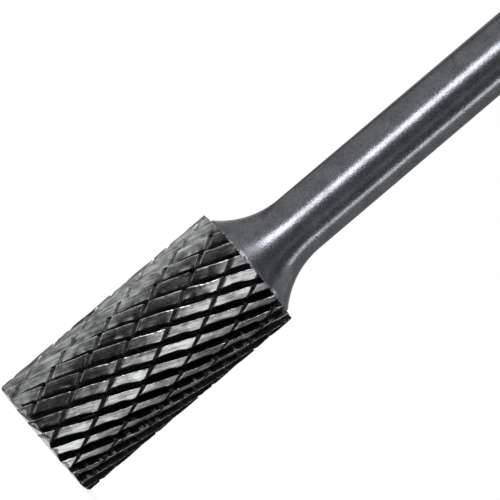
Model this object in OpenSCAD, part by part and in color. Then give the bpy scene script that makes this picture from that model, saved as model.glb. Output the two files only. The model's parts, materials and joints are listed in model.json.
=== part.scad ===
// Cylindrical double-cut rotary burr, standing on the cutting edges of its front face.
// The origin is the centre of the circle they stand on, and +Z runs along the axis to the end of the shank.

/* [Cutting head] */
// Diameter over the cutting edges
head_d = 12.7; // [10.4:0.1:16]
// Length of the toothed cylinder
head_l = 25; // [14:0.5:30]
// Number of flutes, which is the number of teeth too
flute_count = 24; // [16:1:27]
// Right-hand helix angle of the flutes, measured from the axis
flute_helix = 24; // [12:1:32]
// Depth of a flute below the cutting edge
flute_depth = 0.85; // [0.65:0.05:1.2]
// Width of the ground land behind a cutting edge
land_w = 0.05; // [0.05:0.01:0.16]
// Width of the relieved tooth back behind the land
relief_w = 0.84; // [0.5:0.02:1]
// Drop of the tooth back from the land to its heel
relief_drop = 0.3; // [0.1:0.02:0.36]
// Width of the floor of a flute
floor_w = 0.16; // [0.1:0.02:0.24]
// Width that the leaning rake face takes up, seen from above
rake_w = 0.09; // [0.05:0.01:0.16]
// Depth of the gullets between the front teeth, up from the front cutting edges
front_depth = 0.45; // [0.3:0.05:0.6]

/* [Chip breakers] */
// Number of chip breaker grooves that cross the teeth
breaker_count = 12; // [8:1:14]
// Left-hand helix angle of the chip breakers, measured from the axis
breaker_helix = 27.5; // [16:0.5:34]
// Depth of a chip breaker below the cutting edge
breaker_depth = 0.48; // [0.42:0.02:0.58]
// Width of a chip breaker at the cutting edge
breaker_w = 0.46; // [0.3:0.02:0.7]

/* [Neck and shank] */
// Diameter of the shank
shank_d = 6; // [3:0.1:8]
// Length of the shank with its neck, from the braze to the free end
shank_l = 44.9; // [30:0.1:80]
// Radius of the hollow curve that flares the shank out to the neck's rim
flare_r = 8.5; // [6:0.5:14]
// Height of the straight rim at the foot of the neck
rim_h = 0.2; // [0.1:0.05:0.6]
// Step from the roots of the flutes in to the neck's rim
rim_step = 0.04; // [0.02:0.02:0.4]
// Chamfer at the free end of the shank
end_chamfer = 0.5; // [0.2:0.1:1]

/* [Braze] */
// Thickness of the braze film between the head and the neck
braze_t = 0.1; // [0.05:0.01:0.25]
// How far the film stays in from the neck's rim
braze_inset = 0.04; // [0.02:0.01:0.2]

/* [Hidden] */
$fn = 96;

head_r = head_d / 2;
// Degrees round the axis for each millimetre along the cutting circle
arc_turn = 360 / (PI * head_d);
tooth_pitch = PI * head_d / flute_count;
breaker_turn = 360 / breaker_count;

// Degrees that each helix turns for each millimetre of height
flute_rate = tan(flute_helix) * arc_turn;
breaker_rate = tan(breaker_helix) * arc_turn;
crossing_rate = flute_rate + breaker_rate;

// Where the slope from the heel down to the flute's floor is as deep as a chip breaker
heel_at = land_w + relief_w;
floor_at = tooth_pitch - rake_w - floor_w;
slope_share = (breaker_depth - relief_drop) / (flute_depth - relief_drop);
slope_at = heel_at + slope_share * (floor_at - heel_at);

// One tooth across: how far each line runs behind the cutting edge, and how deep it lies
TOOTH = [
    [0, 0],
    [land_w, 0],
    [heel_at, relief_drop],
    [slope_at, breaker_depth],
    [floor_at, flute_depth],
    [tooth_pitch - rake_w, flute_depth],
];
line_count = len(TOOTH) * flute_count;

// Half a chip breaker's width at the cutting edge, in degrees round the axis
breaker_half = breaker_w / cos(breaker_helix) / 2 * arc_turn;
// Four rows of points for each chip breaker: its bottom, near side, the middle of the tooth, and far side
ROWS = 4;
// A row nearer than this to an end of a line is left to the end's own point
end_clear = 0.06;
// Least share of a groove's width that two rows keep where the groove fades out
fade_share = 0.2;

rim_r = head_r - flute_depth - rim_step;
shank_r = shank_d / 2;
flare_rise = rim_r - shank_r;
flare_h = sqrt(flare_r ^ 2 - (flare_r - flare_rise) ^ 2);
neck_z = head_l + braze_t;

// Every line of the head follows a flute from the front teeth to the flat back face.
// Line i would start at this angle at height 0.
function tooth_line(i) = TOOTH[i % len(TOOTH)];
function start_turn(i) = floor(i / len(TOOTH)) * 360 / flute_count + tooth_line(i)[0] * arc_turn;
// The deeper a line lies in its flute, the higher it starts, up to the bottom of a front gullet
function front_z(i) = front_depth * tooth_line(i)[1] / flute_depth;

// Share of a chip breaker's width that is left at the depth of line i
function groove_share(i) =
    let (depth = tooth_line(i)[1])
    depth > breaker_depth ? 1 : max(fade_share, 1 - depth / breaker_depth);

// Angle of row k where it crosses line i, unrolled along the chip breakers
function row_turn(i, k) =
    let (groove = floor(k / ROWS))
    let (half = breaker_half * groove_share(i))
    let (steps = [0, half, breaker_turn / 2, breaker_turn - half])
    groove * breaker_turn + steps[k - groove * ROWS];

function row_z(i, k) = (row_turn(i, k) - start_turn(i)) / crossing_rate;

// The rows that cross line i between its two ends
function row_near(i, z) = floor(ROWS * (start_turn(i) + z * crossing_rate) / breaker_turn);
function first_row(i) =
    let (low = front_z(i))
    [for (k = [row_near(i, low) - ROWS : row_near(i, low) + ROWS]) if (row_z(i, k) > low + end_clear) k][0];
function last_row(i) =
    let (high = row_near(i, head_l) + ROWS)
    [for (k = [high : -1 : high - 2 * ROWS]) if (row_z(i, k) < head_l - end_clear) k][0];

// The head's surface on line i at height z: the deeper of the tooth and the chip breaker
function head_point(i, z) =
    let (crossing = start_turn(i) + z * crossing_rate)
    let (off_groove = abs(crossing - breaker_turn * round(crossing / breaker_turn)))
    let (groove_depth = breaker_depth * (1 - off_groove / breaker_half))
    let (r = head_r - max(tooth_line(i)[1], groove_depth))
    let (turn = start_turn(i) + z * flute_rate)
    [r * cos(turn), r * sin(turn), z];

function line_heights(i, first, last) = [front_z(i), for (k = [first : last]) row_z(i, k), head_l];

// Triangles from one point to each pair of neighbours in a list, in the list's order
function fan(hub, edge) = [for (n = [0 : len(edge) - 2]) [hub, edge[n], edge[n + 1]]];

// Carbide head: right-hand flutes, left-hand chip breakers across them, radial front teeth and a flat back
module cutting_head() {
    first = [for (i = [0 : line_count]) first_row(i)];
    last = [for (i = [0 : line_count]) last_row(i)];
    // The last line is the first one again, one turn of chip breakers further on
    turn_rows = ROWS * breaker_count;
    line_start = [for (i = 0, n = 0; i < line_count; n = n + last[i] - first[i] + 3, i = i + 1) n];
    lines = [for (i = [0 : line_count - 1]) for (z = line_heights(i, first[i], last[i])) head_point(i, z)];
    centres = [[0, 0, front_depth], [0, 0, head_l]];
    front_centre = len(lines);
    back_centre = front_centre + 1;

    function at(i, k) = i < line_count ? line_start[i] + 1 + k - first[i] : 1 + k - turn_rows - first[0];
    function front(i) = line_start[i % line_count];
    function back(i) = at(i, last[i]) + 1;

    // The strip between line i and the next one: whole cells, then what is left at each end
    function cells(i, low, high) = [
        for (k = [low : 1 : high - 1]) each [
            [at(i, k), at(i, k + 1), at(i + 1, k + 1)],
            [at(i, k), at(i + 1, k + 1), at(i + 1, k)],
        ],
    ];
    function front_gap(i, low) =
        first[i] <= first[i + 1]
            ? fan(front(i + 1), [front(i), for (k = [first[i] : 1 : low]) at(i, k), at(i + 1, low)])
            : fan(front(i), [at(i, low), for (k = [low : -1 : first[i + 1]]) at(i + 1, k), front(i + 1)]);
    function back_gap(i, high) =
        last[i + 1] >= last[i]
            ? fan(back(i), [back(i + 1), for (k = [last[i + 1] : -1 : high]) at(i + 1, k), at(i, high)])
            : fan(back(i + 1), [at(i + 1, high), for (k = [high : 1 : last[i]]) at(i, k), back(i)]);
    function strip(i) =
        let (low = max(first[i], first[i + 1]), high = min(last[i], last[i + 1]))
        [each cells(i, low, high), each front_gap(i, low), each back_gap(i, high)];

    sides = [for (i = [0 : line_count - 1]) each strip(i)];
    ends = [
        for (i = [0 : line_count - 1]) each [
            [front_centre, front(i), front(i + 1)],
            [back_centre, back(i + 1), back(i)],
        ],
    ];
    color("dimgray")
        polyhedron(points = [each lines, each centres], faces = [each sides, each ends], convexity = 4);
}

// Film of braze that joins the head's back face to the neck
module braze_film() {
    color("darkgoldenrod")
        translate([0, 0, head_l]) cylinder(h = braze_t, r = rim_r - braze_inset);
}

// Half section of the shank: a straight rim, a hollow flare and a chamfered cylinder
module shank_section() {
    difference() {
        polygon([
            [0, 0],
            [rim_r, 0],
            [rim_r, rim_h + flare_h],
            [shank_r, rim_h + flare_h],
            [shank_r, shank_l - end_chamfer],
            [shank_r - end_chamfer, shank_l],
            [0, shank_l],
        ]);
        translate([shank_r + flare_r, rim_h + flare_h]) circle(r = flare_r);
    }
}

// Ground steel shank, turned in one piece with its flared neck
module shank() {
    color("silver")
        translate([0, 0, neck_z]) rotate_extrude() shank_section();
}

cutting_head();
braze_film();
shank();
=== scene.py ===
"""Finishes a rotary burr: ground carbide teeth, a braze line, a steel shank and a plain studio."""
import json
import math

import bmesh
import bpy
from bpy.props import FloatProperty, FloatVectorProperty, IntProperty, PointerProperty
from mathutils import Matrix, Vector, noise


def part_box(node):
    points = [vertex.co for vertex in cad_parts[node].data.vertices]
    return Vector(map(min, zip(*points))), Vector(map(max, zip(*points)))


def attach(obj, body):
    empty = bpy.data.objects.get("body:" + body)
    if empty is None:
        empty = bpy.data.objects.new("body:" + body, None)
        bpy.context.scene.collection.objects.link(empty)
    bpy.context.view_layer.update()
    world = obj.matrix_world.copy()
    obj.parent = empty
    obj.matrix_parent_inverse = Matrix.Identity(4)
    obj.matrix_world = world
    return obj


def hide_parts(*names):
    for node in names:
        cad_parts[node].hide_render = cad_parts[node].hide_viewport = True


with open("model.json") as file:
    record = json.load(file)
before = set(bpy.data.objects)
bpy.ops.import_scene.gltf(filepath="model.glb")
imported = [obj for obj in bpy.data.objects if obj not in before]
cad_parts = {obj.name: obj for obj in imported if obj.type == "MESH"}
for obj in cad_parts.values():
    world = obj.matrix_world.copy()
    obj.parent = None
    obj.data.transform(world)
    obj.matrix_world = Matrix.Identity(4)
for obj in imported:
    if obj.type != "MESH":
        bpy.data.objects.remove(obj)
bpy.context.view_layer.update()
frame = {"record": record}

bl_info = {
    "name": "Rotary burr finish",
    "version": (1, 0, 0),
    "blender": (4, 5, 0),
    "location": "3D View > Sidebar > Burr",
    "description": "Builds the ground head, the braze line and the shank of a rotary burr, with a studio",
    "category": "Object",
}

MM = 0.001
TURN = 2 * math.pi
UP = Vector((0, 0, 1))

# What the frame gives: the head stands on z = 0, and the shank ends at the top.
HEAD_LOW, HEAD_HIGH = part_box("cutting_head")
BRAZE_LOW, BRAZE_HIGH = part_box("braze_film")
SHANK_LOW, SHANK_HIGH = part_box("shank")
HEAD_RADIUS = HEAD_HIGH.x
HEAD_LENGTH = HEAD_HIGH.z - HEAD_LOW.z
RIM_RADIUS = SHANK_HIGH.x
MOUNTS = {mount["name"]: mount for mount in frame["record"]["mounts"]}
SHANK_RADIUS = MOUNTS["shank"]["dims"]["r_mm"] * MM

# The helix of the flutes, which the studio's reflection cards are set for too
TOOTH_HELIX = math.radians(24)

# How a length is shown in the sidebar
LENGTH = {"subtype": "DISTANCE", "precision": 5}


class BurrHeadSizes(bpy.types.PropertyGroup):
    flutes: IntProperty(
        name="Flutes", description="Number of helical flutes, which is the number of teeth too",
        default=24, min=3)
    flute_helix: FloatProperty(
        name="Flute helix", description="Right-hand helix angle of the flutes",
        default=TOOTH_HELIX, subtype="ANGLE")
    flute_depth: FloatProperty(
        name="Flute depth", description="Depth of a flute below the cutting edge",
        default=0.85 * MM, **LENGTH)
    land: FloatProperty(
        name="Land", description="Width of the ground land behind a cutting edge",
        default=0.05 * MM, **LENGTH)
    back: FloatProperty(
        name="Back", description="Width of the relieved back of a tooth", default=0.78 * MM, **LENGTH)
    back_drop: FloatProperty(
        name="Back drop", description="Drop of the back from the land to the heel",
        default=0.25 * MM, **LENGTH)
    heel_spread: FloatProperty(
        name="Heel spread", description="How much wider the back gets towards the upper end of each tooth",
        default=0.2 * MM, **LENGTH)
    front_depth: FloatProperty(
        name="Front gullets", description="Depth of the gullets between the front teeth",
        default=0.45 * MM, **LENGTH)
    floor: FloatProperty(
        name="Flute floor", description="Width of the floor of a flute", default=0.16 * MM, **LENGTH)
    rake: FloatProperty(
        name="Rake", description="Width that the rake face takes up, seen from above",
        default=0.09 * MM, **LENGTH)
    edge: FloatProperty(
        name="Edge", description="Width of the honed rounding of a cutting edge",
        default=0.01 * MM, **LENGTH)
    breakers: IntProperty(
        name="Chip breakers", description="Number of grooves that cross the teeth", default=12, min=3)
    breaker_helix: FloatProperty(
        name="Breaker helix", description="Left-hand helix angle of the chip breakers",
        default=math.radians(27.5), subtype="ANGLE")
    breaker_depth: FloatProperty(
        name="Breaker depth", description="Depth of a chip breaker below the cutting edge",
        default=0.48 * MM, **LENGTH)
    breaker_width: FloatProperty(
        name="Breaker width", description="Width of a chip breaker at the cutting edge",
        default=0.46 * MM, **LENGTH)
    lip: FloatProperty(
        name="Breaker lip", description="Depth of the worn bevel along the upper side of a chip breaker",
        default=0.02 * MM, **LENGTH)
    sway: FloatProperty(
        name="Crest sway", description="How strongly the cutting edges wander from a true helix",
        default=0.3 * MM, **LENGTH)
    wear: FloatProperty(
        name="Edge wear", description="Depth of the fine nicks along the cutting edges",
        default=0.035 * MM, **LENGTH)
    end_chips: FloatProperty(
        name="End chips", description="Depth of the chips at the front ends of the teeth",
        default=0.3 * MM, **LENGTH)
    colour: FloatVectorProperty(
        name="Carbide", description="Colour of the ground carbide",
        default=(0.235, 0.24, 0.243), subtype="COLOR")
    # Painted shade: this dark colour is laid deep in the flutes and chip breakers, where shade falls
    recess_shade_colour: FloatVectorProperty(
        name="Flute floor", description="Colour of the carbide deep in the flutes",
        default=(0.017, 0.0175, 0.018), subtype="COLOR")


class BurrShankSizes(bpy.types.PropertyGroup):
    flare_radius: FloatProperty(
        name="Flare radius", description="Radius of the hollow curve of the neck",
        default=8.5 * MM, **LENGTH)
    rim_height: FloatProperty(
        name="Rim height", description="Height of the straight rim at the foot of the neck",
        default=0.2 * MM, **LENGTH)
    end_chamfer: FloatProperty(
        name="End chamfer", description="Chamfer at the free end", default=0.5 * MM, **LENGTH)
    bead_width: FloatProperty(
        name="Bead width", description="How far the bead of braze stands out from the neck's rim",
        default=0.05 * MM, **LENGTH)
    bead_height: FloatProperty(
        name="Bead height", description="How far the bead of braze creeps up the neck's rim",
        default=0.14 * MM, **LENGTH)
    colour: FloatVectorProperty(
        name="Steel", description="Colour of the ground steel",
        default=(0.102, 0.106, 0.116), subtype="COLOR")
    braze_colour: FloatVectorProperty(
        name="Braze", description="Colour of the silver braze", default=(0.22, 0.22, 0.22), subtype="COLOR")


# Width of the photograph's frame, and its scale at the burr's axis
FRAME_PIXELS = 500
PIXELS_PER_MM = 10.69


class BurrStudio(bpy.types.PropertyGroup):
    front: FloatProperty(
        name="Front", description="Direction from the axis to the camera, anticlockwise from +X",
        default=math.radians(-98.65), subtype="ANGLE")
    distance: FloatProperty(
        name="Camera distance", description="From the burr's axis to the camera",
        default=370 * MM, subtype="DISTANCE")
    roll: FloatProperty(
        name="Lean", description="Angle of the burr's axis above the picture's level",
        default=math.radians(40.28), subtype="ANGLE")
    scale: FloatProperty(
        name="Picture width", description="Width of the picture at the burr's axis",
        default=FRAME_PIXELS / PIXELS_PER_MM * MM, subtype="DISTANCE")
    floor_colour: FloatVectorProperty(
        name="Floor", description="Colour of the studio floor", default=(0.5, 0.5, 0.5), subtype="COLOR")


class Output:
    """What comes out of a node. Plain sums with it add Math nodes to its tree."""

    def __init__(self, socket):
        self.socket = socket
        self.tree = socket.id_data

    def __add__(self, other):
        return calc("ADD", self, other)

    def __radd__(self, other):
        return calc("ADD", other, self)

    def __sub__(self, other):
        return calc("SUBTRACT", self, other)

    def __rsub__(self, other):
        return calc("SUBTRACT", other, self)

    def __mul__(self, other):
        return calc("MULTIPLY", self, other)

    def __rmul__(self, other):
        return calc("MULTIPLY", other, self)

    def __truediv__(self, other):
        return calc("DIVIDE", self, other)

    def __rtruediv__(self, other):
        return calc("DIVIDE", other, self)

    def __pow__(self, other):
        return calc("POWER", self, other)


def feed(node, inputs):
    """Feeds each input of a node with a plain value or with what comes out of another node."""
    for key, value in inputs.items():
        if isinstance(value, Output):
            node.id_data.links.new(value.socket, node.inputs[key])
        else:
            node.inputs[key].default_value = value


def add_node(tree, kind, inputs, output=0, **settings):
    """Adds a node with its settings and inputs, and returns one of its outputs, by number or by name."""
    node = tree.nodes.new(kind)
    for name, value in settings.items():
        setattr(node, name, value)
    feed(node, inputs)
    return Output(node.outputs[output])


def calc(operation, *values):
    """One Math node, given as its operation and its values."""
    tree = next(value.tree for value in values if isinstance(value, Output))
    return add_node(tree, "ShaderNodeMath", dict(enumerate(values)), operation=operation)


def share(value, start, end, easing="LINEAR"):
    """How far a value has gone from start to end, from 0 to 1."""
    inputs = {"Value": value, "From Min": start, "From Max": end}
    return add_node(value.tree, "ShaderNodeMapRange", inputs, interpolation_type=easing, clamp=True)


def between(luck, low, high):
    """A number between low and high, where the luck is a number from 0 to 1."""
    return luck * (high - low) + low


def vector(tree, x, y, z):
    """A vector made of three numbers."""
    return add_node(tree, "ShaderNodeCombineXYZ", {"X": x, "Y": y, "Z": z})


def axes(place):
    """The X, Y and Z of a vector."""
    split = place.tree.nodes.new("ShaderNodeSeparateXYZ")
    feed(split, {0: place})
    return [Output(socket) for socket in split.outputs]


def noise_at(place, scale, detail, roughness=0.5, seed=None):
    """Smooth noise at a place, in three dimensions, or in four where it has a seed."""
    inputs = {"Vector": place, "Scale": scale, "Detail": detail, "Roughness": roughness}
    if seed is None:
        return add_node(place.tree, "ShaderNodeTexNoise", inputs)
    return add_node(place.tree, "ShaderNodeTexNoise", {**inputs, "W": seed}, noise_dimensions="4D")


def add_inputs(tree, kinds):
    """Gives a node group its named inputs, and returns what comes in through each."""
    for name, kind in kinds.items():
        tree.interface.new_socket(name, in_out="INPUT", socket_type=kind)
    entry = tree.nodes.new("NodeGroupInput")
    return {name: Output(entry.outputs[name]) for name in kinds}


# Points that each zone of one tooth gets across, from its cutting edge back to the next one
ZONE_POINTS = {"land": 2, "back": 5, "heel": 4, "floor": 1, "rake": 1, "edge": 2}
TOOTH_POINTS = sum(ZONE_POINTS.values())
# Points along one chip breaker's pitch: for each side of the groove, and between two grooves
BREAKER_POINTS = 5
BETWEEN_POINTS = 18
PITCH_POINTS = 2 * BREAKER_POINTS + BETWEEN_POINTS

# Points of the head nearer together than this are one point
MERGE_DISTANCE = 0.001 * MM
# An edge of the head's mesh that bends more than this is sharp
SHARP_BEND = math.radians(42)

# A turn and a height too small to matter, which keep rounding from moving a point off its ring or its end
HAIR_TURN = 1e-5
HAIR_HEIGHT = 1e-7


def point_sheet(tree, columns, rows):
    """A flat sheet of points, one unit apart round the origin, with each point's column and row number."""
    sheet = add_node(tree, "GeometryNodeMeshGrid", {
        "Size X": columns, "Size Y": rows, "Vertices X": columns + 1, "Vertices Y": rows + 1}, "Mesh")
    x, y, _ = axes(add_node(tree, "GeometryNodeInputPosition", {}))
    column = calc("ROUND", columns * 0.5 + x)
    row = calc("ROUND", rows * 0.5 + y)
    return sheet, column, row


def grouped(number, group_size):
    """Which group a whole number falls in, where all groups have one size, and its place in that group."""
    # Half a step more keeps rounding from moving the first number of a group into the group before
    group = calc("FLOOR", (number + 0.5) / group_size)
    return group, number - group * group_size


def turn_of_row(row, pitch_turn, half_breaker):
    """The turn of a row at height 0. Rows are close together in a chip breaker and even between two."""
    pitch, along = grouped(row, PITCH_POINTS)
    first_side = 1 - (1 - share(along, 0, BREAKER_POINTS)) ** 2
    even_part = share(along, BREAKER_POINTS, PITCH_POINTS - BREAKER_POINTS)
    last_side = share(along, PITCH_POINTS - BREAKER_POINTS, PITCH_POINTS) ** 2
    in_breakers = (first_side + last_side) * half_breaker
    return pitch * pitch_turn + in_breakers + even_part * (pitch_turn - 2 * half_breaker)


def zones_across(across):
    """How far a column has gone through each zone of its tooth, from 0 to 1."""
    zones = []
    start = 0
    for count in ZONE_POINTS.values():
        zones.append(share(across, start, start + count))
        start += count
    return zones


def close_ends(mesh, size):
    """Closes the head by drawing the open edges of both ends in to the axis."""
    tree = mesh.tree
    edge_faces = add_node(tree, "GeometryNodeInputMeshEdgeNeighbors", {}, "Face Count")
    is_open = add_node(
        tree, "FunctionNodeCompare", {"A": edge_faces, "B": 1}, data_type="INT", operation="EQUAL")
    ends = tree.nodes.new("GeometryNodeExtrudeMesh")
    ends.mode = "EDGES"
    feed(ends, {"Mesh": mesh, "Selection": is_open, "Offset Scale": 0.0})
    _, _, height = axes(add_node(tree, "GeometryNodeInputPosition", {}))
    at_front = calc("LESS_THAN", height, size["Length"] * 0.5)
    centre_height = at_front * (size["Front Depth"] - size["Length"]) + size["Length"]
    closed = add_node(tree, "GeometryNodeSetPosition", {
        "Geometry": Output(ends.outputs["Mesh"]), "Selection": Output(ends.outputs["Top"]),
        "Position": vector(tree, 0, 0, centre_height)})
    return add_node(tree, "GeometryNodeMergeByDistance", {"Geometry": closed, "Distance": MERGE_DISTANCE})


def shade(mesh):
    """Smooth faces, with sharp edges along the crests and where the surface bends strongly."""
    tree = mesh.tree
    bend = add_node(tree, "GeometryNodeInputMeshEdgeAngle", {}, "Unsigned Angle")
    is_bent = add_node(tree, "FunctionNodeCompare", {"A": bend, "B": SHARP_BEND}, operation="GREATER_THAN")
    # An edge of the mesh is on a crest where both of its ends are, so that their mean is 1
    nearly_one = 0.99
    on_crest = add_node(tree, "GeometryNodeInputNamedAttribute", {"Name": "crest"}, data_type="FLOAT")
    is_crest = add_node(
        tree, "FunctionNodeCompare", {"A": on_crest, "B": nearly_one}, operation="GREATER_THAN")
    is_sharp = add_node(tree, "FunctionNodeBooleanMath", {0: is_bent, 1: is_crest}, operation="OR")
    smooth = add_node(tree, "GeometryNodeSetShadeSmooth", {"Geometry": mesh}, domain="FACE")
    return add_node(tree, "GeometryNodeSetShadeSmooth", {
        "Geometry": smooth, "Selection": is_sharp, "Shade Smooth": False}, domain="EDGE")


def teeth_tree():
    """Geometry nodes for the head: points on two crossing helices, pushed in by the flutes and breakers."""
    tree = bpy.data.node_groups.new("burr_teeth", "GeometryNodeTree")
    tree.interface.new_socket("Head", in_out="OUTPUT", socket_type="NodeSocketGeometry")
    size = add_inputs(tree, {
        **dict.fromkeys(("Flutes", "Breakers"), "NodeSocketInt"),
        **dict.fromkeys((
            "Radius", "Length", "Flute Helix", "Flute Depth", "Land", "Back", "Back Drop", "Heel Spread",
            "Front Depth", "Floor", "Rake", "Edge", "Breaker Helix", "Breaker Depth", "Breaker Width",
            "Breaker Lip", "Crest Sway", "Edge Wear", "End Chips", "Seed"), "NodeSocketFloat"),
        "Material": "NodeSocketMaterial",
    })
    # Radians that each helix turns for each metre of height, and that the two turn against each other.
    # A point's crossing is the turn that its row has at height 0.
    flute_rate = calc("TANGENT", size["Flute Helix"]) / size["Radius"]
    breaker_rate = calc("TANGENT", size["Breaker Helix"]) / size["Radius"]
    crossing_rate = flute_rate + breaker_rate

    # Columns of points follow the flutes, and rows follow the chip breakers
    columns = size["Flutes"] * TOOTH_POINTS
    sweep = crossing_rate * size["Length"] + TURN
    rows = calc("CEIL", sweep / TURN * (size["Breakers"] * PITCH_POINTS))
    sheet, column, row = point_sheet(tree, columns, rows)
    pitch_turn = TURN / size["Breakers"]
    half_breaker = size["Breaker Width"] * 0.5 / (calc("COSINE", size["Breaker Helix"]) * size["Radius"])
    row_turn = turn_of_row(row, pitch_turn, half_breaker)

    # Across a tooth, each zone runs further behind the cutting edge
    tooth, across = grouped(column, TOOTH_POINTS)
    land, back, heel, floor, rake, edge = zones_across(across)
    heel_width = size["Radius"] * TURN / size["Flutes"]
    for name in ("Land", "Back", "Floor", "Rake", "Edge"):
        heel_width = heel_width - size[name]
    behind = (land * size["Land"] + back * size["Back"] + heel * heel_width + floor * size["Floor"]
              + rake * size["Rake"] + edge * size["Edge"])
    flute_turn = tooth * (TURN / size["Flutes"]) + behind / size["Radius"]

    def height_at(line_turn, low):
        """Height where a row crosses a line along the flutes, kept between a low end and the back face."""
        height = (row_turn - line_turn) / crossing_rate
        return calc("MINIMUM", calc("MAXIMUM", height, low), size["Length"])

    # Which tooth of which ring of teeth this is, and how far along it. Below the front teeth all rows count
    # as one, so that their points merge.
    front_top = size["Front Depth"] + size["End Chips"]
    rough_crossing = crossing_rate * height_at(flute_turn, front_top) + flute_turn
    ring = calc("FLOOR", (rough_crossing + HAIR_TURN) / pitch_turn)
    ring_turn = rough_crossing - ring * pitch_turn
    ring_share = share(ring_turn, half_breaker, pitch_turn - half_breaker)
    lap, tooth_of_lap = grouped(tooth, size["Flutes"])
    ring_of_lap = ring - lap * size["Breakers"]
    chance = add_node(tree, "ShaderNodeTexWhiteNoise", {
        "Vector": vector(tree, tooth_of_lap, ring_of_lap, size["Seed"])}, "Color", noise_dimensions="3D")
    drop_luck, shade_luck, heel_luck = (
        add_node(tree, "FunctionNodeSeparateColor", {0: chance}, part) for part in range(3))

    # The back gets wider towards the upper end of each tooth, its heel runs unevenly, and the slope gives
    # way. The steps keep the noise of one tooth or crest apart from the next one's.
    tooth_step = 3.7
    along_tooth = vector(tree, tooth_of_lap * tooth_step, rough_crossing - lap * TURN, size["Seed"])
    heel_waves = noise_at(along_tooth, scale=6, detail=1) - 0.5
    widened = share(ring_share, 0.45, 0.95, "SMOOTHSTEP") * between(heel_luck, 0.6, 1.2)
    back_cubed = back ** 3
    heel_shift = (back_cubed - heel) * ((widened + heel_waves) * size["Heel Spread"])

    # Each crest wanders a little, with the rake face in front of it
    crest_step = 5.3
    crest_seed = size["Seed"] + 7
    crest_lap, crest_of_lap = grouped(tooth + floor, size["Flutes"])
    along_crest = vector(tree, crest_of_lap * crest_step, rough_crossing - crest_lap * TURN, crest_seed)
    crest_waves = noise_at(along_crest, scale=2.6, detail=1) - 0.5
    flute_turn = flute_turn + (crest_waves * size["Crest Sway"] + heel_shift) / size["Radius"]

    # Depth below the cutting edge, from the flute: the back is slightly crowned, and the edge is honed round
    crown = 0.15
    tooth_drop = size["Back Drop"] * between(drop_luck, 0.88, 1.12)
    back_sag = (back_cubed * crown + back * (1 - crown)) * tooth_drop
    heel_sag = share(heel, 0, 1, "SMOOTHSTEP") * (size["Flute Depth"] - tooth_drop)
    honed_share = 0.42
    edge_height = size["Edge"] * honed_share
    rake_rise = rake * (size["Flute Depth"] - edge_height)
    edge_rise = (1 - (1 - edge) ** 2) * edge_height
    flute_sag = back_sag + heel_sag - (rake_rise + edge_rise)

    # The front teeth: gullets deepen with the flute, and the front edges are broken back here and there
    gullet_bend = 0.65
    gullet = calc("MAXIMUM", flute_sag / size["Flute Depth"], 0) ** gullet_bend
    front_spot = vector(tree, calc("COSINE", flute_turn), calc("SINE", flute_turn), size["Seed"])
    broken = share(noise_at(front_spot, scale=11, detail=2), 0.42, 0.68)
    front_low = gullet * size["Front Depth"] + broken * size["End Chips"]

    # Where the two helices cross
    height = height_at(flute_turn, front_low)
    angle = flute_rate * height + flute_turn
    angle_cos = calc("COSINE", angle)
    angle_sin = calc("SINE", angle)
    crossing = crossing_rate * height + flute_turn

    # The chip breakers: curved walls, and a worn lip that takes the edge off the upper one
    half_pitch = pitch_turn * 0.5
    from_breaker = calc("WRAP", crossing, half_pitch, half_pitch * -1)
    upper_wall = calc("GREATER_THAN", from_breaker, 0)
    lip_start = half_breaker * 0.7
    wall_end = (lip_start - half_breaker) * upper_wall + half_breaker
    groove = 1 - (1 - share(calc("ABSOLUTE", from_breaker), wall_end, 0)) ** 2
    lip = share(from_breaker, half_breaker, lip_start) * upper_wall
    flute_sag = lip * size["Breaker Lip"] + flute_sag
    breaker_sag = groove * size["Breaker Depth"]

    # Fine nicks along the cutting edges, and chips at the front ends of the teeth
    nick_reach = 0.6
    spot = vector(tree, angle_cos, angle_sin, height / size["Radius"])
    nicks = share(noise_at(spot, scale=38, detail=3, roughness=0.65, seed=size["Seed"]), 0.45, 0.75)
    at_edge = calc("MAXIMUM", share(back, nick_reach, 0), share(rake, nick_reach, 1))
    nick = nicks * at_edge * size["Edge Wear"]
    chips = share(noise_at(spot, scale=13, detail=2, seed=size["Seed"]), 0.3, 0.7)
    at_front = calc("LESS_THAN", height, front_low + HAIR_HEIGHT)
    at_tip = calc("MAXIMUM", 1 - flute_sag / size["Flute Depth"], 0)
    chip = at_front * at_tip * (chips * size["End Chips"])
    sag = calc("MAXIMUM", flute_sag, breaker_sag)
    radius = calc("MINIMUM", size["Radius"] - sag - (nick + chip), size["Radius"])
    point = vector(tree, radius * angle_cos, radius * angle_sin, height)

    # What the material reads: marks that place painted shade in the flutes and chip breakers, and a painted
    # highlight along the lands and honed edges. A groove's mark fades out where the flute runs deeper than
    # the groove.
    groove_fade = 0.15 * MM
    in_groove = groove * share(breaker_sag, flute_sag - groove_fade, flute_sag)
    lip_shade = 0.08
    honed_edge = share(edge, 0, 0.3)
    marks = {
        "groove": in_groove + lip * lip_shade,
        "upper_wall": upper_wall,
        "flute": share(heel, 0.5, 1) - honed_edge,
        "painted_crest_highlight": calc("MAXIMUM", 1 - share(land, 0.5, 1), honed_edge),
        "luck": shade_luck,
        "crest": calc("COMPARE", across, 0, 0.5),
    }
    marked = sheet
    for name, value in marks.items():
        marked = add_node(tree, "GeometryNodeStoreNamedAttribute", {
            "Geometry": marked, "Name": name, "Value": value}, data_type="FLOAT", domain="POINT")

    wrapped = add_node(tree, "GeometryNodeSetPosition", {"Geometry": marked, "Position": point})
    side = add_node(tree, "GeometryNodeMergeByDistance", {"Geometry": wrapped, "Distance": MERGE_DISTANCE})
    shaded = shade(close_ends(side, size))
    real = add_node(tree, "GeometryNodeRealizeInstances", {"Geometry": shaded})
    dressed = add_node(tree, "GeometryNodeSetMaterial", {"Geometry": real, "Material": size["Material"]})
    feed(tree.nodes.new("NodeGroupOutput"), {"Head": dressed})
    return tree


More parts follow.
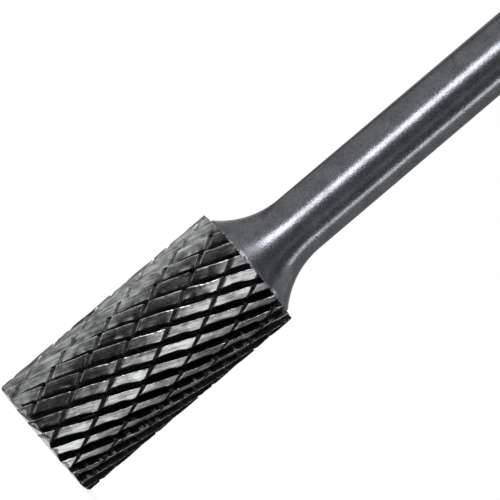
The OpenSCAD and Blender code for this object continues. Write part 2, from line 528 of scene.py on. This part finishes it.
def grown_mesh(name, tree, values):
    """Runs a geometry tree with named values, and returns an object with the plain mesh that it makes."""
    piece = bpy.data.objects.new(name, bpy.data.meshes.new(name))
    bpy.context.scene.collection.objects.link(piece)
    growth = piece.modifiers.new("Growth", "NODES")
    growth.node_group = tree
    for item in tree.interface.items_tree:
        if item.in_out == "INPUT":
            growth[item.identifier] = values[item.name]
    depsgraph = bpy.context.evaluated_depsgraph_get()
    mesh = bpy.data.meshes.new_from_object(piece.evaluated_get(depsgraph), depsgraph=depsgraph)
    piece.modifiers.clear()
    piece.data = mesh
    mesh.name = name
    return piece


def face_outwards(piece):
    """Turns every face of a closed mesh outwards."""
    solid = bmesh.new()
    solid.from_mesh(piece.data)
    bmesh.ops.recalc_face_normals(solid, faces=solid.faces)
    solid.to_mesh(piece.data)
    solid.free()


def object_place(tree):
    """The place of the shaded point in its piece's own frame."""
    return add_node(tree, "ShaderNodeTexCoord", {}, "Object")


def helix_lines_group():
    """Fine lines that follow a helix round the Z axis, as a grinding wheel leaves them."""
    if "helix_lines" in bpy.data.node_groups:
        return bpy.data.node_groups["helix_lines"]
    group = bpy.data.node_groups.new("helix_lines", "ShaderNodeTree")
    size = add_inputs(group, dict.fromkeys(("Radius", "Rate", "Fineness", "Stretch"), "NodeSocketFloat"))
    group.interface.new_socket("Line", in_out="OUTPUT", socket_type="NodeSocketFloat")
    x, y, z = axes(object_place(group))
    unwound = calc("ARCTAN2", y, x) - size["Rate"] * z
    from_axis = calc("SQRT", x * x + y * y)
    spot = vector(group, unwound * size["Radius"], from_axis, z / size["Stretch"])
    line = noise_at(spot, scale=size["Fineness"], detail=4, roughness=0.6)
    feed(group.nodes.new("NodeGroupOutput"), {"Line": line})
    return group


def new_material(name):
    """A new node material, its tree and its Principled BSDF."""
    material = bpy.data.materials.new(name)
    material.use_nodes = True
    tree = material.node_tree
    shader = next(item for item in tree.nodes if item.type == "BSDF_PRINCIPLED")
    return material, tree, shader


def tinted(colour, strength=1.0):
    """A colour made brighter or darker, as a colour socket takes it."""
    return (*(strength * part for part in colour), 1)


def blend_colours(factor, first, second):
    """A mix of two colours."""
    inputs = {"Factor": factor, "A": first, "B": second}
    return add_node(factor.tree, "ShaderNodeMix", inputs, "Result", data_type="RGBA")


def bump(height, strength, distance, **below):
    """A bump from a height, on top of the Normal of another bump where one is given."""
    inputs = {"Height": height, "Strength": strength, "Distance": distance, **below}
    return add_node(height.tree, "ShaderNodeBump", inputs)


# Roughness of a freshly ground face, before grain and wear add to it
GROUND_ROUGHNESS = 0.13


def carbide_material(sizes):
    """Ground tungsten carbide: semi-bright, with fine lines along the flutes, painted shade deep in the
    flutes and chip breakers, and a painted highlight along the crests.
    """
    material, tree, shader = new_material("ground_carbide")

    def ground_lines(fineness, stretch):
        """Lines along the flutes: how fine they are for each millimetre, and how much they are drawn out."""
        return add_node(tree, "ShaderNodeGroup", {
            "Radius": HEAD_RADIUS, "Rate": math.tan(sizes.flute_helix) / HEAD_RADIUS,
            "Fineness": fineness / MM, "Stretch": stretch}, "Line", node_tree=helix_lines_group())

    def mark(name):
        """A share that the geometry nodes left on the head."""
        return add_node(tree, "ShaderNodeAttribute", {}, "Fac", attribute_name=name)

    lines = ground_lines(fineness=9, stretch=14)
    streaks = ground_lines(fineness=2.4, stretch=6)
    place = object_place(tree)
    grain = noise_at(place, scale=7 / MM, detail=3)
    patches = noise_at(place, scale=0.9 / MM, detail=2)
    groove = mark("groove")

    # Painted shade in the chip breakers: the upper wall is darkened right up to its lip, and the lower wall
    # darkens more slowly
    lower_wall_shade = share(groove, 0, 0.5) * 0.7
    upper_wall_shade = share(groove, 0, 0.14) * 0.93
    painted_groove_shade = (upper_wall_shade - lower_wall_shade) * mark("upper_wall") + lower_wall_shade
    # Painted shade: how far the base colour goes over to the dark recess colour, deep in the flutes and in
    # the chip breakers
    deep = calc("MAXIMUM", share(mark("flute"), 0.4, 0.95), painted_groove_shade)

    # The ground faces run from dark to bright at random, and a painted highlight makes the lands and honed
    # edges of the crests brighter still
    line_tone = share(lines, 0.41, 0.59) * 0.2
    streak_tone = share(streaks, 0.42, 0.58) * 0.35
    patch_tone = share(patches, 0.42, 0.58) * 0.25
    tone = line_tone + streak_tone + patch_tone + mark("luck") * 0.2
    ground = blend_colours(tone, tinted(sizes.colour, 0.15), tinted(sizes.colour, 1.8))
    # Painted highlight: the lands and honed edges are brightened towards twice the carbide's colour
    painted_crest_highlight = mark("painted_crest_highlight") * share(patches, 0.35, 0.6)
    crest_highlighted = blend_colours(painted_crest_highlight, ground, tinted(sizes.colour, 2.0))

    groove_roughness = share(groove, 0, 0.2) * 0.35
    line_bump = bump(lines, strength=0.2, distance=0.003 * MM)
    feed(shader, {
        "Base Color": blend_colours(deep, crest_highlighted, tinted(sizes.recess_shade_colour)),
        "Roughness": GROUND_ROUGHNESS + patches * 0.06 + grain * 0.04 + deep * 0.1 + groove_roughness,
        "Normal": bump(streaks, strength=0.6, distance=0.008 * MM, Normal=line_bump),
        "Metallic": 0.98,
        "Specular Tint": (0.25, 0.25, 0.25, 1),
    })
    return material


def steel_material(sizes):
    """Ground steel with fine pits and scratches."""
    material, tree, shader = new_material("ground_steel")
    place = object_place(tree)
    grain = noise_at(place, scale=5 / MM, detail=4, roughness=0.6)
    cloud = noise_at(place, scale=0.6 / MM, detail=3)
    tone = share(grain, 0.35, 0.65) * 0.65 + share(cloud, 0.35, 0.65) * 0.35
    feed(shader, {
        "Base Color": blend_colours(tone, tinted(sizes.colour, 0.62), tinted(sizes.colour, 1.38)),
        "Roughness": GROUND_ROUGHNESS + grain * 0.12,
        "Normal": bump(grain, strength=0.9, distance=0.014 * MM),
        "Metallic": 1,
        "Specular Tint": (0.6, 0.6, 0.6, 1),
    })
    return material


def braze_material(sizes):
    """Dull silver braze."""
    material, tree, shader = new_material("silver_braze")
    lumps = noise_at(object_place(tree), scale=3 / MM, detail=3)
    tone = share(lumps, 0.35, 0.65)
    feed(shader, {
        "Base Color": blend_colours(tone, tinted(sizes.braze_colour, 0.1), tinted(sizes.braze_colour)),
        "Normal": bump(lumps, strength=0.6, distance=0.02 * MM),
        "Metallic": 1,
        "Roughness": 0.45,
    })
    return material


# Fixes what is drawn at random for the teeth
HEAD_SEED = 3.0


class BURR_OT_cutting_head(bpy.types.Operator):
    """Builds the carbide head with its flutes, teeth and chip breakers"""
    bl_idname = "burr.cutting_head"
    bl_label = "Cutting head"

    def execute(self, context):
        sizes = context.scene.burr_head
        head = grown_mesh("carbide_head", teeth_tree(), {
            "Radius": HEAD_RADIUS, "Length": HEAD_LENGTH,
            "Flutes": sizes.flutes, "Flute Helix": sizes.flute_helix, "Flute Depth": sizes.flute_depth,
            "Land": sizes.land, "Back": sizes.back, "Back Drop": sizes.back_drop,
            "Heel Spread": sizes.heel_spread, "Front Depth": sizes.front_depth,
            "Floor": sizes.floor, "Rake": sizes.rake, "Edge": sizes.edge,
            "Breakers": sizes.breakers, "Breaker Helix": sizes.breaker_helix,
            "Breaker Depth": sizes.breaker_depth, "Breaker Width": sizes.breaker_width,
            "Breaker Lip": sizes.lip, "Crest Sway": sizes.sway, "Edge Wear": sizes.wear,
            "End Chips": sizes.end_chips,
            "Seed": HEAD_SEED, "Material": carbide_material(sizes),
        })
        face_outwards(head)
        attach(head, "root")
        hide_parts("cutting_head")
        return {"FINISHED"}


# Sides of the two turned pieces: the ragged bead takes more of them
SHANK_SIDES = 192
BEAD_SIDES = 720
# An edge of a turned piece that bends more than this is sharp
TURNED_BEND = math.radians(28)


def lathe(name, outline_at, sides):
    """A solid turned from an outline of (radius, height) points, which starts and ends on the axis. The
    outline is asked for at each turn, so it may differ round the piece."""
    solid = bmesh.new()
    turns = [TURN * step / sides for step in range(sides)]
    outlines = [outline_at(turn) for turn in turns]
    rings = []
    for number, (first_radius, first_height) in enumerate(outlines[0]):
        if first_radius == 0:
            rings.append([solid.verts.new((0, 0, first_height))])
            continue
        places = [(turn, *outline[number]) for turn, outline in zip(turns, outlines)]
        rings.append([solid.verts.new((radius * math.cos(turn), radius * math.sin(turn), height))
                      for turn, radius, height in places])
    for low, high in zip(rings, rings[1:]):
        for step in range(sides):
            after = (step + 1) % sides
            corners = (low[step % len(low)], low[after % len(low)],
                       high[after % len(high)], high[step % len(high)])
            solid.faces.new(list(dict.fromkeys(corners)))
    bmesh.ops.recalc_face_normals(solid, faces=solid.faces)
    for face in solid.faces:
        face.smooth = True
    for edge in solid.edges:
        edge.smooth = edge.calc_face_angle(0) < TURNED_BEND
    mesh = bpy.data.meshes.new(name)
    solid.to_mesh(mesh)
    solid.free()
    piece = bpy.data.objects.new(name, mesh)
    bpy.context.scene.collection.objects.link(piece)
    return piece


def shank_outline(sizes):
    """Half section of the shank: rim, hollow flare, straight cylinder and chamfered end."""
    rise = RIM_RADIUS - SHANK_RADIUS
    flare_height = math.sqrt(sizes.flare_radius ** 2 - (sizes.flare_radius - rise) ** 2)
    rim_top = SHANK_LOW.z + sizes.rim_height
    steepest = math.asin(flare_height / sizes.flare_radius)
    flare = []
    flare_steps = 28
    for step in range(flare_steps + 1):
        turn = steepest * (1 - step / flare_steps)
        radius = SHANK_RADIUS + sizes.flare_radius * (1 - math.cos(turn))
        height = rim_top + flare_height - sizes.flare_radius * math.sin(turn)
        flare.append((radius, height))
    straight_end = SHANK_HIGH.z - sizes.end_chamfer
    straight_start = rim_top + flare_height
    straight_steps = 24
    straight = [(SHANK_RADIUS, straight_start + (straight_end - straight_start) * step / straight_steps)
                for step in range(1, straight_steps + 1)]
    return [(0, SHANK_LOW.z), (RIM_RADIUS, SHANK_LOW.z), *flare, *straight,
            (SHANK_RADIUS - sizes.end_chamfer, SHANK_HIGH.z), (0, SHANK_HIGH.z)]


class BURR_OT_shank(bpy.types.Operator):
    """Turns the steel shank with its flared neck"""
    bl_idname = "burr.shank"
    bl_label = "Shank"

    def execute(self, context):
        sizes = context.scene.burr_shank
        outline = shank_outline(sizes)
        shank = lathe("steel_shank", lambda turn: outline, SHANK_SIDES)
        shank.data.materials.append(steel_material(sizes))
        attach(shank, "root")
        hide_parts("shank")
        return {"FINISHED"}


# Gap between the bead of braze and the neck's rim, which keeps the two surfaces apart
BEAD_GAP = 0.002 * MM
# How fast the bead's finer waves fade, how much finer each layer of them is, and how many layers there are
BEAD_WAVES = (1.0, 2.0, 4)
# Where the bead's side bends over to its top, as shares of the bead's height and width
SHOULDER_HEIGHT = 0.6
SHOULDER_WIDTH = 0.3


def ragged(side, fineness, seed, middle, swing, least):
    """A share that runs unevenly round the joint, kept between the least and 1."""
    waves = noise.fractal(side * fineness + UP * seed, *BEAD_WAVES)
    return min(max(middle + swing * waves, least), 1)


def braze_outline(turn, sizes):
    """Half section of the braze at one side: the film, and a ragged bead that creeps up the neck's rim."""
    side = Vector((math.cos(turn), math.sin(turn), 0))
    creep = ragged(side, fineness=9, seed=0, middle=0.5, swing=1.3, least=0.08)
    bulge = ragged(side, fineness=7, seed=5, middle=0.55, swing=1, least=0.2)
    foot = RIM_RADIUS + sizes.bead_width * bulge
    top = SHANK_LOW.z + sizes.bead_height * creep
    inside = RIM_RADIUS + BEAD_GAP
    side_top = BRAZE_LOW.z + SHOULDER_HEIGHT * (top - BRAZE_LOW.z)
    top_edge = inside + SHOULDER_WIDTH * (foot - inside)
    return [(0, BRAZE_LOW.z), (foot, BRAZE_LOW.z), (foot, side_top), (top_edge, top), (inside, top),
            (inside, BRAZE_HIGH.z), (0, BRAZE_HIGH.z)]


class BURR_OT_braze(bpy.types.Operator):
    """Fills the joint between the head and the neck with braze"""
    bl_idname = "burr.braze"
    bl_label = "Braze"

    def execute(self, context):
        sizes = context.scene.burr_shank
        braze = lathe("braze", lambda turn: braze_outline(turn, sizes), BEAD_SIDES)
        braze.data.materials.append(braze_material(sizes))
        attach(braze, "root")
        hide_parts("braze_film")
        return {"FINISHED"}


def plain_emission(name, level, is_lamp):
    """A material that gives off an even light."""
    material = bpy.data.materials.new(name)
    material.use_nodes = True
    tree = material.node_tree
    tree.nodes.clear()
    glow = add_node(tree, "ShaderNodeEmission", {"Color": (1, 1, 1, 1), "Strength": level})
    feed(tree.nodes.new("ShaderNodeOutputMaterial"), {"Surface": glow})
    material.cycles.emission_sampling = "AUTO" if is_lamp else "NONE"
    return material


# The cards and lamps lie on a sphere round the burr. Each card is a step nearer than the one before, so that
# it covers what it overlaps.
CARD_RADIUS = 300 * MM
CARD_CENTRE = 12 * MM
CARD_STEP = 1 * MM
# Faces along each side of a card
CARD_FACES = 20

# Lamps: name, bearings, rises and level
LAMPS = (
    ("left_lamp", (-15.5, -7), (3, 62), 11),
    ("top_lamp", (-15.5, -7), (62, 95), 3.5),
    ("right_lamp", (37, 39.5), (4, 52), 10),
)
# Cards for the neck and for level surfaces: bearings, rises and level
NECK_CARDS = (
    ((-1, 14), (-2, 95), 0.35),
    ((14, 20), (-2, 95), 0.65),
    ((20, 33), (-2, 95), 0.32),
    ((33, 90), (-5, 3), 0.12),
    ((45, 70), (10, 60), 0.8),
    ((-90, -80), (-90, 3), 0.1),
)
# Cards for the straight shank's edges: bearings, heights and level
SHANK_CARDS = (
    ((70, 90), (1, 35), 0.6),
    ((-90, -72), (6.5, 9.5), 0.45),
)
# Cards for the backs of the teeth: bearings, slopes and level
TEETH_CARDS = (
    ((-90, -38), (-3, 4), 1.7),
    ((-38, -2), (-3, 4), 1.7),
    ((-2, 32), (-3, 4), 0.8),
    ((32, 90), (-3, 4), 0.1),
    ((-90, -60), (4, 18), 1.35),
    ((-90, -60), (18, 24), 0.9),
    ((-90, -60), (24, 45), 0.62),
    ((-60, -46), (4, 18), 1.15),
    ((-60, -46), (18, 24), 1.1),
    ((-60, -46), (24, 45), 1.0),
    ((-46, -35), (4, 60), 0.3),
    ((-35, -15), (4, 60), 0.0),
    ((-15, -8), (4, 60), 0.12),
    ((-8, -1), (4, 36), 1.0),
    ((-1, 23), (4, 38), 2.2),
    ((23, 31), (4, 38), 1.3),
    ((31, 39), (4, 42), 0.6),
    ((39, 50), (4, 55), 0.36),
    ((50, 62), (4, 70), 0.75),
    ((62, 82), (4, 60), 0.3),
    ((-8, 39), (42, 85), 0.03),
    ((-62, -48), (36, 80), 1.4),
    ((-48, -38), (34, 80), 0.7),
)


def card_direction(kind, studio, bearing, lean):
    """The direction that one spot of the burr mirrors towards the camera. The bearing says how far to the
    right of the front the spot lies. The lean is twice the upward tilt of the neck, the slope of a tooth's
    back away from its cutting edge or, for the shank, the card's own height above level."""
    to_front = Vector((math.cos(studio.front), math.sin(studio.front), 0))
    to_right = UP.cross(to_front)
    if kind == "shank":
        around = to_front * math.cos(2 * bearing) + to_right * math.sin(2 * bearing)
        return around * math.cos(lean) + UP * math.sin(lean)
    outward = to_front * math.cos(bearing) + to_right * math.sin(bearing)
    beside = to_right * math.cos(bearing) - to_front * math.sin(bearing)
    if kind == "teeth":
        downhill = beside * math.cos(TOOTH_HELIX) - UP * math.sin(TOOTH_HELIX)
        normal = outward * math.cos(lean) + downhill * math.sin(lean)
        return 2 * normal.dot(to_front) * normal - to_front
    arc = outward * math.cos(lean) + UP * math.sin(lean)
    return beside * math.sin(bearing) + arc * math.cos(bearing)


def card_angles(first, last):
    """The angles of a card's points, from its first angle to its last, which are in degrees."""
    return [math.radians(first + (last - first) * step / CARD_FACES) for step in range(CARD_FACES + 1)]


def add_card(name, studio, radius, across, along, level, is_lamp=False, kind="neck"):
    """A curved card that only reflections see, or a lamp, placed by the spots of the burr that mirror it
    towards the camera: across runs over their bearings, and along runs over their leans."""
    corners = [card_direction(kind, studio, bearing, lean) * radius + UP * CARD_CENTRE
               for bearing in card_angles(*across) for lean in card_angles(*along)]
    row = CARD_FACES + 1
    faces = [(i * row + j, (i + 1) * row + j, (i + 1) * row + j + 1, i * row + j + 1)
             for i in range(CARD_FACES) for j in range(CARD_FACES)]
    mesh = bpy.data.meshes.new(name)
    mesh.from_pydata(corners, [], faces)
    mesh.materials.append(plain_emission(name, level, is_lamp))
    card = bpy.data.objects.new(name, mesh)
    bpy.context.scene.collection.objects.link(card)
    card.visible_camera = False
    card.visible_diffuse = is_lamp
    card.visible_transmission = False
    card.visible_shadow = False


# The camera's own height, and the point that it looks at, measured from the foot of the burr's axis
EYE_HEIGHT = 9.5 * MM
AIM_RIGHT = -1.083 * MM
AIM_HEIGHT = 26.18 * MM


def add_camera(studio):
    """The camera of the photograph, turned so that the burr leans in the picture."""
    out = Vector((math.cos(studio.front), math.sin(studio.front), 0))
    eye = out * studio.distance + UP * EYE_HEIGHT
    target = UP.cross(out) * AIM_RIGHT + UP * AIM_HEIGHT
    forward = (target - eye).normalized()
    right = forward.cross(UP).normalized()
    up = right.cross(forward)
    lean_cos = math.cos(studio.roll)
    lean_sin = math.sin(studio.roll)
    picture_right = right * lean_sin + up * lean_cos
    picture_up = up * lean_sin - right * lean_cos
    data = bpy.data.cameras.new("camera")
    data.sensor_width = 36
    data.lens = data.sensor_width * studio.distance / studio.scale
    data.clip_start = 10 * MM
    data.clip_end = 20
    camera = bpy.data.objects.new("camera", data)
    bpy.context.scene.collection.objects.link(camera)
    basis = Matrix((picture_right, picture_up, -forward)).transposed()
    camera.matrix_world = Matrix.Translation(eye) @ basis.to_4x4()
    bpy.context.scene.camera = camera


# Radius of the floor in metres, so large that its edge is out of every view
FLOOR_RADIUS = 6
FLOOR_SIDES = 96
# Light that the floor gives off besides, for the camera's and the mirrored rays only
FLOOR_GLOW = 0.5


def add_floor(studio):
    """A plain pale floor, round, with its edge far away."""
    mesh = bpy.data.meshes.new("studio_floor")
    solid = bmesh.new()
    bmesh.ops.create_circle(solid, cap_ends=True, segments=FLOOR_SIDES, radius=FLOOR_RADIUS)
    solid.to_mesh(mesh)
    solid.free()
    material, tree, shader = new_material("studio_floor")
    camera_sees, metal_sees, glass_sees = (
        add_node(tree, "ShaderNodeLightPath", {}, ray)
        for ray in ("Is Camera Ray", "Is Glossy Ray", "Is Transmission Ray"))
    feed(shader, {
        "Base Color": tinted(studio.floor_colour),
        "Roughness": 0.9,
        "Specular IOR Level": 0,
        "Emission Color": (1, 1, 1, 1),
        "Emission Strength": (camera_sees + metal_sees + glass_sees) * FLOOR_GLOW,
    })
    mesh.materials.append(material)
    floor = bpy.data.objects.new("studio_floor", mesh)
    bpy.context.scene.collection.objects.link(floor)
    floor.visible_glossy = False


def add_world():
    """An even white surround."""
    world = bpy.data.worlds.new("white_surround")
    world.use_nodes = True
    feed(world.node_tree.nodes["Background"], {"Color": (1, 1, 1, 1), "Strength": 1})
    world.cycles.sampling_method = "NONE"
    bpy.context.scene.world = world


class BURR_OT_studio(bpy.types.Operator):
    """Sets up the floor, the lamps, the reflection cards and the camera"""
    bl_idname = "burr.studio"
    bl_label = "Studio"

    def execute(self, context):
        studio = context.scene.burr_studio
        add_floor(studio)
        add_world()
        for name, across, along, level in LAMPS:
            add_card(name, studio, CARD_RADIUS, across, along, level, is_lamp=True)
        radius = CARD_RADIUS
        for kind, cards in (("neck", NECK_CARDS), ("shank", SHANK_CARDS), ("teeth", TEETH_CARDS)):
            for number, (across, along, level) in enumerate(cards):
                radius -= CARD_STEP
                add_card(f"{kind}_card_{number}", studio, radius, across, along, level, kind=kind)
        add_camera(studio)
        context.scene.view_settings.view_transform = "Standard"
        return {"FINISHED"}


class BURR_PT_panel(bpy.types.Panel):
    """The burr's pieces in the 3D view's sidebar"""
    bl_idname = "BURR_PT_panel"
    bl_label = "Rotary burr"
    bl_space_type = "VIEW_3D"
    bl_region_type = "UI"
    bl_category = "Burr"

    def draw(self, context):
        for name in GROUPS:
            group = getattr(context.scene, name)
            box = self.layout.box()
            for key in group.__annotations__:
                box.prop(group, key)
        for operator in OPERATORS:
            self.layout.operator(operator.bl_idname)


GROUPS = {"burr_head": BurrHeadSizes, "burr_shank": BurrShankSizes, "burr_studio": BurrStudio}
OPERATORS = (BURR_OT_cutting_head, BURR_OT_shank, BURR_OT_braze, BURR_OT_studio)


def register():
    for item in (*GROUPS.values(), *OPERATORS, BURR_PT_panel):
        bpy.utils.register_class(item)
    for name, group in GROUPS.items():
        setattr(bpy.types.Scene, name, PointerProperty(type=group))


def unregister():
    for name in GROUPS:
        delattr(bpy.types.Scene, name)
    for item in (BURR_PT_panel, *reversed(OPERATORS), *reversed(GROUPS.values())):
        bpy.utils.unregister_class(item)


def main():
    register()
    bpy.ops.burr.cutting_head()
    bpy.ops.burr.shank()
    bpy.ops.burr.braze()
    bpy.ops.burr.studio()


if __name__ == "__main__":
    main()
